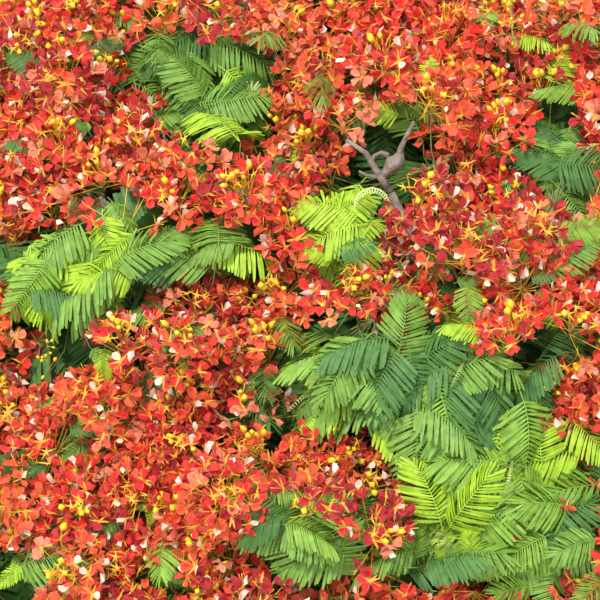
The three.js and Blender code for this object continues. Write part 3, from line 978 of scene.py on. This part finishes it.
def view_grid(step, rng):
    """Places over the view, evenly spread and a little shaken."""
    for up in np.arange(-FRAME_REACH, FRAME_REACH, step):
        for sideways in np.arange(-FRAME_REACH, FRAME_REACH, step):
            yield sideways + rng.uniform(0, step), up + rng.uniform(0, step)


def tips_in_view(crown):
    return np.array([(*in_view(tip), (tip - VIEW_MIDDLE) @ NEARER) for tip in crown.front_tips])


def near_tips(tips, sideways, up):
    """The nearest tip in the view, how far off it is, and how near the four nearest are on average."""
    gaps = norm(tips[:, :2] - (sideways, up), axis=1)
    near = np.argsort(gaps)[:4]
    return near[0], gaps[near[0]], tips[near, 2].mean()


def add_backing_leaf(crown, root, shake, size, rng):
    """A leaf in the shade that faces the view."""
    forward = unit(VIEW_UP * rng.uniform(-1, 1) + np.array([rng.uniform(-1, 1), 0, 0]))
    turn = turn_to(forward, NEARER + rng.normal(0, shake, 3)) * size
    crown.inner_leaf(turn, root - forward * BACKING_INSET, rng)


def fill_front(crown):
    """Heads and tufts in the view where masses meet, and leaves deep in the shade behind them all."""
    rng = np.random.default_rng(FILL_SEED)
    tips = tips_in_view(crown)
    for sideways, up in view_grid(BACKING_STEP, rng):
        _, _, depth = near_tips(tips, sideways, up)
        root = from_view(sideways, up, depth - rng.uniform(*DEEP_BACKING))
        add_backing_leaf(crown, root, 0.2, 1.15, rng)
    for sideways, up in view_grid(FILL_STEP, rng):
        nearest, gap, depth = near_tips(tips_in_view(crown), sideways, up)
        if gap < FILL_GAP:
            continue
        mass = crown.front_masses[nearest]
        end = from_view(sideways, up, depth - rng.uniform(*FILL_SINK))
        away = end - mass.middle
        dress_tip(crown, mass, end, unit(away - mass.outward * (away @ mass.outward)), mass.forks, rng)


def grow_drift_leaves(crown):
    """More leaves where the view shows them thick, from the twigs behind."""
    rng = np.random.default_rng(DRIFT_SEED)
    tips = tips_in_view(crown)
    for tip in crown.front_tips:
        root = tip - NEARER * rng.uniform(*BACKING_DEPTH) + rng.normal(0, 0.05, 3)
        add_backing_leaf(crown, root, 0.25, 1.05, rng)
    forks = np.array(crown.forks)
    for x, z, half_width, half_height in LEAF_DRIFTS + MORE_LEAVES:
        room = min(1, (half_width + half_height) / SMALL_DRIFT)
        count = max(2, round(pi * half_width * half_height / DRIFT_LEAF_AREA))
        for _ in range(count):
            best = 0
            for attempt in range(DRIFT_LEAF_TRIES):
                share = sqrt(rng.random()) * 0.95
                around = rng.uniform(0, tau)
                sideways = x + half_width * share * cos(around)
                up = z + half_height * share * sin(around)
                if abs(sideways) > FRAME_EDGE or abs(up) > FRAME_EDGE:
                    continue
                _, _, depth = near_tips(tips, sideways, up)
                root = from_view(sideways, up, depth + rng.uniform(-0.05, 0.09))
                swing = rng.normal(-pi / 2, 1.0)
                forward = np.array([cos(swing), 0, 0]) + VIEW_UP * sin(swing) * 0.8
                forward = unit(forward + NEARER * rng.uniform(0.1, 0.6))
                size = rng.uniform(0.75, 1.05) * (1 - 0.014 * attempt) * room
                fit = leaf_fit(root, forward, size)
                if fit > best:
                    best = fit
                    chosen = (root, forward, size)
                if fit > GOOD_FIT:
                    break
            if best < WORST_FIT:
                continue
            root, forward, size = chosen
            facing = NEARER * 0.7 + UP * FACE_UP + rng.normal(0, 0.2, 3)
            add_leaf(crown, root, forward, facing, pick_leaf_tint(root + forward * 0.15, rng), size, rng)
            fork = forks[np.argmin(norm(forks + NEARER * 0.12 - root, axis=1))]
            crown.green_twig(bowed(fork, root, rng.normal(0, 0.015, 3) - NEARER * TWIG_SAG, 4))


def is_covered(place, rng):
    """Whether a flower there would hide the opening, or leaves that the view shows."""
    if not on_front(place):
        return False
    if in_drift(place, OPENINGS, OPENING_ROOM) or shows_leaves(place, 0.72):
        return True
    return shows_leaves(place, 0.95) and rng.random() < 0.7


def grow_calyx(crown, foot, axis, rng):
    """A flower that has dropped its petals: five yellow points on a curved stalk."""
    lean = unit(axis + rng.normal(0, 0.5, 3))
    place = foot + lean * rng.uniform(0.045, 0.08)
    crown.stalk(crown.yellow_stalks, [foot, (foot + place) / 2 + rng.normal(0, 0.01, 3), place], 0.002)
    side, other = sides_of(lean)
    for number in range(5):
        angle = tau * number / 5 + rng.normal(0, 0.15)
        out = swung(side, other, angle)
        flat = np.cross(lean, out) * 0.003
        point = place + out * rng.uniform(0.012, 0.031) + lean * rng.uniform(-0.018, 0.02)
        crown.yellow_stalks.add(np.array([place + flat, place - flat, point]), BLADE_FACES)


def grow_head(crown, mass, tip, rng):
    """A flat-topped head of open flowers round a short stalk, with buds at its top."""
    axis = unit(mass.outward + UP * 0.45 + rng.normal(0, 0.14, 3))
    base = tip - axis * 0.07
    tint = pick_petal_tint(rng)
    # A whole head never takes the salmon painted highlight; only single flowers do.
    if tint == "salmon_highlight":
        tint = "orange"
    close = on_front(tip)
    count = int(rng.integers(*(FLOWERS_IN_VIEW if close else FLOWERS_PER_HEAD)))
    turn = rng.uniform(0, tau)
    side, other = sides_of(axis)
    for number in range(count):
        angle = turn + number * GOLDEN_ANGLE
        polar = acos(1 - 0.9 * (number + 0.5) / count)
        around = swung(side, other, angle)
        reach = HEAD_WIDTH * sin(polar) * rng.uniform(0.75, 1.1)
        rise = HEAD_RISE * cos(polar) * rng.uniform(0.6, 1.25)
        place = base + around * reach + axis * (rise + 0.015)
        if is_covered(place, rng):
            continue
        facing = unit(axis * cos(polar * 0.8) + around * sin(polar * 0.8) + rng.normal(0, 0.5, 3))
        size = rng.uniform(0.85, 1.12) * (1 if close else FAR_FLOWER_SIZE)
        turned = face_along(facing, rng.uniform(0, tau)) * size
        own = tint if rng.random() < HEAD_TINT_CHANCE else pick_petal_tint(rng)
        crown.flowers.append((own, int(rng.integers(FLOWER_VARIANTS)), turned, place))
        foot = base + axis * (0.05 * cos(polar) - 0.03 + rng.uniform(-0.02, 0.02))
        crown.stalk(crown.yellow_stalks, [foot, place], 0.0012)
    foot = base + axis * (HEAD_RISE * 0.7)
    if rng.random() < BUDS_CHANCE:
        for _ in range(int(rng.integers(*BUDS_PER_HEAD))):
            lean = unit(axis + rng.normal(0, 0.5, 3))
            place = foot + lean * rng.uniform(0.04, 0.075)
            if is_covered(place, rng):
                continue
            bend = (foot + place) / 2 + rng.normal(0, 0.01, 3)
            crown.buds.append((face_along(lean - UP * 0.3, 0.0) * rng.uniform(0.7, 1.15), place))
            crown.stalk(crown.yellow_stalks, [foot, bend, place], 0.002)
    for _ in range(int(rng.integers(*CALYXES_PER_HEAD))):
        if not is_covered(foot, rng):
            grow_calyx(crown, foot, axis, rng)
    crown.twig(np.array([base - axis * 0.05, base + axis * 0.03]), (0.003, 0.0018))
    if close and rng.random() < STRAY_LEAF_SHARE and not in_drift(base, OPENINGS, 1.5):
        out = swung(side, other, rng.uniform(0, tau))
        root = base + out * HEAD_WIDTH * 0.5 + axis * 0.04
        size = rng.uniform(0.35, 0.7)
        add_leaf(crown, root, unit(out + axis * 0.5), axis, pick_leaf_tint(root, rng), size, rng)


def grow_spike(crown, mass, tip, rng):
    """A raceme that hasn't opened: buds along a curved green stalk."""
    axis = unit(mass.outward + UP * 0.6 + rng.normal(0, 0.25, 3))
    line = bowed(tip - axis * 0.03, tip + axis * 0.12, rng.normal(0, 0.014, 3), 5)
    crown.stalk(crown.stalks, line, 0.0024)
    for number in range(10):
        share = 0.3 + 0.7 * number / 9
        lean = unit(axis * 0.5 + rng.normal(0, 0.6, 3))
        foot = line[0] + (line[-1] - line[0]) * share
        place = foot + lean * 0.034 * (1.3 - share)
        crown.stalk(crown.stalks, [foot, place], 0.0013)
        crown.buds.append((face_along(lean, 0.0) * (0.7 - 0.3 * share), place))


def grow_inner_leaf(crown, mass, fork, end, radial, rng):
    """A leaf in the shade below the surface, on the twig that leads up to it."""
    root = fork + (end - fork) * rng.uniform(0.1, 0.6) - mass.outward * rng.uniform(*INNER_DEPTH)
    swing = rng.uniform(-2.2, 2.2)
    turned = swung(radial, np.cross(mass.outward, radial), swing)
    forward = unit(turned - mass.outward * 0.15 - UP * rng.uniform(0, 0.3))
    turn = turn_to(forward, mass.outward + UP * 0.3 + rng.normal(0, 0.3, 3))
    turn = turn * rng.uniform(0.9, 1.2) * (1 if on_front(root) else INNER_LEAF_SIZE)
    crown.inner_leaf(turn, root, rng)


def grow_shade_leaves(crown, mass, stem, rng):
    """Leaves along the stem, deep in the shade."""
    for number in range(SHADE_LEAVES):
        root = stem.point(rng.uniform(0.35, 0.8))
        radial = swung(mass.across, mass.up_slope, number * GOLDEN_ANGLE)
        out = radial * rng.uniform(0.05, 0.4)
        turn = turn_to(unit(radial + rng.normal(0, 0.25, 3)), mass.outward + rng.normal(0, 0.3, 3))
        turn = turn * (1.1 if on_front(root) else 1.6)
        crown.inner_leaf(turn, root + out, rng)
        crown.green_twig(bowed(root, root + out, rng.normal(0, 0.01, 3), 3))


def dress_tip(crown, mass, end, radial, forks, rng):
    """A fine twig to that place, with its head of flowers or its tuft of leaves."""
    blossom = is_blossom(end)
    behind = forks + mass.outward * 0.12
    fork = forks[np.argmin(norm(behind - end, axis=1))]
    grow_inner_leaf(crown, mass, fork, end, radial, rng)
    if on_front(end):
        crown.front_tips.append(end)
        crown.front_masses.append(mass)
        if in_drift(end, OPENINGS, OPENING_ROOM):
            return
    crown.green_twig(bowed(fork, end, rng.normal(0, 0.015, 3) - mass.outward * TWIG_SAG, 4))
    if not blossom:
        grow_leaves(crown, mass, end, radial, rng)
    elif rng.random() < SPIKE_CHANCE:
        grow_spike(crown, mass, end, rng)
    else:
        grow_head(crown, mass, end, rng)


def grow_mass(crown, mass):
    dice = Dice(mass.seed)
    turn = dice.between(0, tau)
    rng = np.random.default_rng(mass.seed)
    stem = stem_curve(mass)
    crown.twig(stem.point(np.linspace(0.5, 1, 5)), (0.012, 0.006), 5)

    grow_shade_leaves(crown, mass, stem, rng)

    def spread(number, share, reach, lift):
        """A place on the mass: its reach is a distance, or measured back from the edge when negative."""
        radial = swung(mass.across, mass.up_slope, turn + number * GOLDEN_ANGLE)
        edge = reach_along(radial, mass)
        along = share * (edge + reach if reach < 0 else reach)
        rise = MASS_BULGE * (1 - min(1, along / edge) ** 2) + lift
        return mass.middle + radial * along + mass.outward * rise, radial, along, edge

    forks = []
    for k in range(1, TWIGS_PER_MASS + 1):
        share = sqrt(k / TWIGS_PER_MASS)
        end = spread(k, share, -HEAD_SOLID_RADIUS * 0.9, -0.09)[0]
        root = stem.point(HIGHEST_TWIG - TWIG_SPREAD * share)
        line = bowed(root, end, mass.outward * 0.02 + rng.normal(0, 0.012, 3), 5)
        crown.twig(line, TWIG_RADII, 4)
        forks += [line[2], line[3], line[4]]
    forks += list(stem.point(np.array([0.8, 0.95])))
    crown.forks += forks
    mass.forks = np.array(forks)

    for number in range(FINE_TIPS):
        lift = rng.uniform(*LAYER_SPREAD)
        share = sqrt((number + 0.5) / FINE_TIPS)
        end, radial, along, edge = spread(number, share, TIP_REACH, lift)
        if along > edge - HEAD_INSET:
            continue
        if not is_blossom(end):
            end = end - radial * min(LEAF_INSET, along) * (along / edge) ** 2
        dress_tip(crown, mass, end, radial, mass.forks, rng)


def grow_open_fork(crown):
    """The bare fork that shows in the opening, on a limb from the nearest stem."""
    for limb in OPEN_FORK:
        points = np.array([from_view(sideways, up, FORK_DEPTH) for sideways, up, _ in limb])
        radii = np.array([radius for _, _, radius in limb])
        crown.twigs.add(*tube(points, radii, 8))
    foot = from_view(*OPEN_FORK[0][0][:2], FORK_DEPTH)
    stems = np.concatenate([stem_curve(mass).point(np.linspace(0.3, 0.7, 9)) for mass in MASSES])
    nearest = stems[np.argmin(norm(stems - foot, axis=1))]
    crown.twig(bowed(nearest, foot, -UP * 0.05, 6), (0.013, OPEN_FORK[0][0][2]), 8)


def place_patterns(patterns, places, low, high):
    """Copies of each pattern at its places, without those that would leave the box."""
    heap = Heap()
    for variant, (corners, faces) in enumerate(patterns):
        chosen = [place for place in places if place[1] == variant]
        if not chosen:
            continue
        turns = np.array([place[2] for place in chosen])
        origins = np.array([place[3] for place in chosen])
        reach = np.einsum("nij,vj->nvi", turns, corners) + origins[:, None]
        inside = ((reach > low) & (reach < high)).all(axis=(1, 2))
        heap.add_copies(corners, faces, turns[inside], origins[inside])
    return heap


def leaf_patterns(rng, sections, half_widths, spine_steps, pairs):
    sections = np.array(sections, float)
    half_widths = np.array(half_widths, float)
    return [leaf_pattern(rng, sections, half_widths, spine_steps, pairs) for _ in range(LEAF_VARIANTS)]


def by_side(leaves):
    """The leaves on the front of the crown, and the others."""
    sides = ([], [])
    for leaf in leaves:
        sides[0 if on_front(leaf[3]) else 1].append(leaf)
    return sides


def dress_crown():
    crown = Crown()
    for mass in MASSES:
        grow_mass(crown, mass)
    fill_front(crown)
    grow_drift_leaves(crown)
    grow_open_fork(crown)
    for sideways, up in SHOOT_SPOTS:
        add_shoot(crown, from_view(sideways, up, SHOOT_DEPTH), np.array([1.0, 0, 0]), UP, 1.05)
    low, high = (np.array(corner) for corner in cad_box)
    margin = (high - low) * BOX_MARGIN
    low = low - margin
    high = high + margin
    low[2] = LOWEST_LEAF

    rng = np.random.default_rng(PATTERN_SEED)
    far_patterns = leaf_patterns(rng, (0, 0.5, 1), (0.45, 1, 0.75), 5, FAR_LEAF_PAIRS)
    close_patterns = leaf_patterns(rng, (0, 0.42, 0.86, 1), (0.35, 1, 0.95, 0.5), 7, LEAF_PAIRS)
    for tint, material in LEAF_TINTS.items():
        close, far = by_side(leaf for leaf in crown.leaves if leaf[0] == tint)
        heap = place_patterns(far_patterns, far, low, high)
        heap.add_heap(place_patterns(close_patterns, close, low, high))
        finish_heap(f"leaves_{tint}", heap, material)
    # The leaves in the shade inside all take deep green, which is partly painted shade.
    far_patterns = leaf_patterns(rng, (0, 1), (0.8, 1.1), 3, INNER_LEAF_PAIRS)
    close_patterns = leaf_patterns(rng, (0, 1), (0.8, 1), 3, SHADED_LEAF_PAIRS)
    close, far = by_side(crown.inner_leaves)
    inner = place_patterns(far_patterns, far, low, high)
    inner.add_heap(place_patterns(close_patterns, close, low, high))
    finish_heap("leaves_inner", inner, LEAF_TINTS["deep"])
    shoots = place_patterns([shoot_pattern()], crown.shoots, low, high)
    finish_heap("leaves_curled", shoots, LEAF_TINTS["young"])

    flowers = [flower_pattern(rng) for _ in range(FLOWER_VARIANTS)]
    pale = Heap()
    trim = Heap()
    for tint, material in PETAL_TINTS.items():
        chosen = [place for place in crown.flowers if place[0] == tint]
        red = place_patterns([flower.red for flower in flowers], chosen, low, high)
        finish_heap(f"petals_{tint}", red, material, smooth=False)
        for variant, flower in enumerate(flowers):
            turns = np.array([place[2] for place in chosen if place[1] == variant])
            origins = np.array([place[3] for place in chosen if place[1] == variant])
            if flower.has_pale:
                pale.add_copies(*flower.pale, turns, origins)
            trim.add_copies(*flower.trim, turns, origins)
    finish_heap("standard_petals", pale, STANDARD, smooth=False)
    finish_heap("sepals_and_stamens", trim, TRIM)
    finish_heap("head_stalks", crown.yellow_stalks, YELLOW_STALKS)

    buds = Heap()
    turns = np.array([turn for turn, _ in crown.buds])
    buds.add_copies(*bud_pattern(), turns, np.array([place for _, place in crown.buds]))
    finish_heap("buds", buds, BUDS)
    finish_heap("flower_stalks", crown.stalks, STALKS)
    finish_heap("twigs", crown.twigs, BARK)
    finish_heap("fine_twigs", crown.green_twigs, GREEN_TWIGS)


# Bark

def bark_shader():
    """Grey-brown bark with a pinkish tinge, pale and dark patches and a fine crackle."""
    material, surface = new_material("bark", 0.86)
    patches = add_node(material, "TexNoise", Scale=13, Detail=10, Roughness=0.7)
    tints = ((0.32, linear(84, 70, 62)), (0.5, linear(138, 119, 108)), (0.68, linear(178, 160, 146)))
    link_colour(material, patches, add_ramp(material, *tints), surface)
    crackle = add_node(material, "TexVoronoi", Scale=55, Detail=3)
    relief = add_node(material, "Bump", Strength=0.9, Distance=0.006)
    link_relief(material, crackle, "Distance", relief, surface)
    return material


BARK = bark_shader()


def limb_heap():
    """Closed tubes for the trunk, boughs and stems, each sunk in what carries it."""
    heap = Heap()
    crest = TRUNK_CREST + (1 - TRUNK_CREST) * np.sin(np.linspace(0, pi / 2, 8))
    shares = np.concatenate([np.linspace(0, TRUNK_CREST, 37)[:-1], crest])
    closing = np.ones((len(shares), 1))
    closing[-8:, 0] = np.cos(np.linspace(0, pi / 2 - 0.25, 8))
    points = TRUNK_CURVE.point(shares)
    angles = np.arange(TRUNK_SIDES) * tau / TRUNK_SIDES
    radii = trunk_radius(shares[:, None], angles[None]) * closing
    corners, faces = tube(points, radii, TRUNK_SIDES)
    # The tube turns its rings in a way of its own, so the lobes are laid again by the true angle.
    ring = corners[: len(shares) * TRUNK_SIDES].reshape(len(shares), TRUNK_SIDES, 3)
    away = ring - points[:, None]
    true_angle = np.arctan2(away[..., 1], away[..., 0])
    radii = trunk_radius(shares[:, None], true_angle) * closing
    ring[:] = points[:, None] + unit(away) * radii[..., None]
    ring[0, :, 2] = FOOT_DEPTH
    corners[-2, 2] = FOOT_DEPTH
    heap.add(corners, faces)
    for bough in BOUGHS:
        shares = np.linspace(0, 1, 26)
        length = bough.curve.lengths[-1]
        collar = 1 + COLLAR_SWELL * np.exp(-shares * length / COLLAR_LENGTH)
        heap.add(*tube(bough.curve.point(shares), bough.radius(shares) * collar, BOUGH_SIDES))
    for mass in MASSES:
        shares = np.linspace(0, STEM_SKIN, 12)
        radii = STEM_FORK_RADIUS + (STEM_SKIN_RADIUS - STEM_FORK_RADIUS) * (shares / STEM_SKIN) ** 0.7
        heap.add(*tube(stem_curve(mass).point(shares), radii, STEM_SIDES))
    return heap


def baked(thing):
    """The mesh of an object with its modifiers applied. The object itself goes."""
    depsgraph = bpy.context.evaluated_depsgraph_get()
    mesh = bpy.data.meshes.new_from_object(thing.evaluated_get(depsgraph))
    bpy.data.objects.remove(thing)
    return mesh


def dress_limbs():
    """One skin over the trunk, boughs and stems, with the bark's ripples and wrinkles."""
    limbs = new_object("limbs_draft", *limb_heap().joined(), BARK)
    remesh = limbs.modifiers.new("skin", "REMESH")
    remesh.mode = "VOXEL"
    remesh.voxel_size = BARK_VOXEL
    remesh.use_smooth_shade = True
    smooth = limbs.modifiers.new("soften", "SMOOTH")
    smooth.factor = 0.5
    smooth.iterations = 4
    mesh = baked(limbs)

    corners = np.empty(len(mesh.vertices) * 3, np.float32)
    normals = np.empty(len(mesh.vertices) * 3, np.float32)
    mesh.vertices.foreach_get("co", corners)
    mesh.vertices.foreach_get("normal", normals)
    corners = corners.reshape(-1, 3)
    normals = normals.reshape(-1, 3)
    rise = np.array([
        0.0045 * noise.fractal(Vector(c) * 9, 1.0, 2.0, 3)
        - 0.009 * abs(noise.noise(Vector((c[0] * 17, c[1] * 17, c[2] * 6))))
        + 0.0032 * noise.noise(Vector((c[0] * 8, c[1] * 8, c[2] * 34)))
        for c in corners.tolist()
    ])
    thickness = np.clip(rise + 0.0015, -0.009, 0.008)
    mesh.vertices.foreach_set("co", (corners + normals * thickness[:, None]).astype(np.float32).ravel())
    piece = add_object("trunk_and_boughs", mesh)
    thin = piece.modifiers.new("thin", "DECIMATE")
    thin.ratio = BARK_KEPT
    mesh = baked(piece)
    shape = bmesh.new()
    shape.from_mesh(mesh)
    cut = bmesh.ops.bisect_plane(
        shape, geom=shape.verts[:] + shape.edges[:] + shape.faces[:],
        plane_co=(0, 0, 0), plane_no=(0, 0, -1), clear_outer=True,
    )
    rim = [edge for edge in cut["geom_cut"] if isinstance(edge, bmesh.types.BMEdge)]
    bmesh.ops.holes_fill(shape, edges=rim)
    bmesh.ops.triangulate(shape, faces=shape.faces[:])
    shape.to_mesh(mesh)
    shape.free()
    for polygon in mesh.polygons:
        polygon.use_smooth = True
    mesh.materials.clear()
    mesh.materials.append(BARK)
    piece = add_object("trunk_and_boughs", mesh)
    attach(piece, "root")
    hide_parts("trunk", *[bough.name for bough in BOUGHS])


# Stage, light and camera

def aim(thing, direction):
    thing.rotation_euler = Vector(direction).to_track_quat("-Z", "Y").to_euler()


def dress_stage():
    corners = np.array([(-1, -1, 0), (1, -1, 0), (1, 1, 0), (-1, 1, 0)], float) * FLOOR_HALF
    floor = new_object("floor", corners, QUAD_FACES, shader("floor", (0.78, 0.77, 0.75), 0.9))
    world = bpy.data.worlds.new("sky")
    world.use_nodes = True
    sky = world.node_tree.nodes["Background"]
    sky.inputs["Color"].default_value = SKY_COLOUR
    sky.inputs["Strength"].default_value = SKY_STRENGTH
    bpy.context.scene.world = world
    sun = bpy.data.lights.new("sun", "SUN")
    sun.energy = SUN_STRENGTH
    sun.angle = SUN_WIDTH
    sun.color = SUN_COLOUR
    aim(add_object("sun", sun), SUNLIGHT)


def place_camera():
    camera = bpy.data.cameras.new("camera")
    camera.sensor_width = SENSOR_WIDTH
    camera.lens = SENSOR_WIDTH * VIEW_DISTANCE / VIEW_WIDTH
    camera.clip_end = FARTHEST_SEEN
    camera.dof.use_dof = False
    viewer = add_object("camera", camera)
    viewer.location = VIEW_MIDDLE + NEARER * VIEW_DISTANCE
    aim(viewer, -NEARER)
    bpy.context.scene.camera = viewer


place_camera()
dress_stage()
dress_limbs()
dress_crown()
bpy.context.scene.view_settings.view_transform = "Standard"
